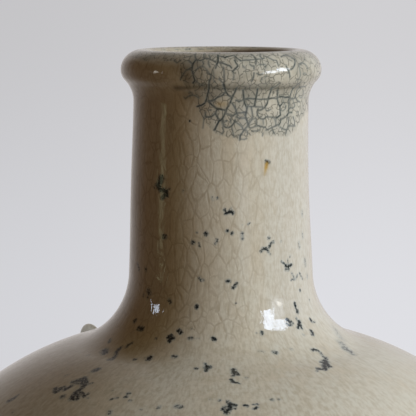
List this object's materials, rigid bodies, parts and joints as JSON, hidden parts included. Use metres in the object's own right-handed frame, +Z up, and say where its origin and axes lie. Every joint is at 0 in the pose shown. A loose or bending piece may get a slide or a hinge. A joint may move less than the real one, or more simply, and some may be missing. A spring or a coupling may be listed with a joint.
{
  "type": "bottle vase",
  "caption": "Globular ceramic bottle vase with a slender neck, rolled rim, turned foot ring and a small cord lug, for holding flower stems or water.",
  "frame": {"origin": "on the bottle's axis, in the plane of the foot ring's resting face", "axes": "+Z up along the axis to the mouth; -Y is the pictured front, so the cord lug is at the back left"},
  "size_m": [0.1866, 0.1866, 0.2498],
  "materials": {
    "crackle_glaze": "glossy warm grey-white glaze over clay, crazed all over, with blue-black smoke in the cracks round the rim and scattered carbon spots",
    "bare_clay": "matt unglazed clay, smoked dark grey-brown"
  },
  "bodies": {
    "root": {"foot_ring": "bare_clay", "lower_body": "crackle_glaze", "shoulder": "crackle_glaze", "neck": "crackle_glaze", "rim": "crackle_glaze", "shoulder_lug": "crackle_glaze"}
  },
  "joints": []
}
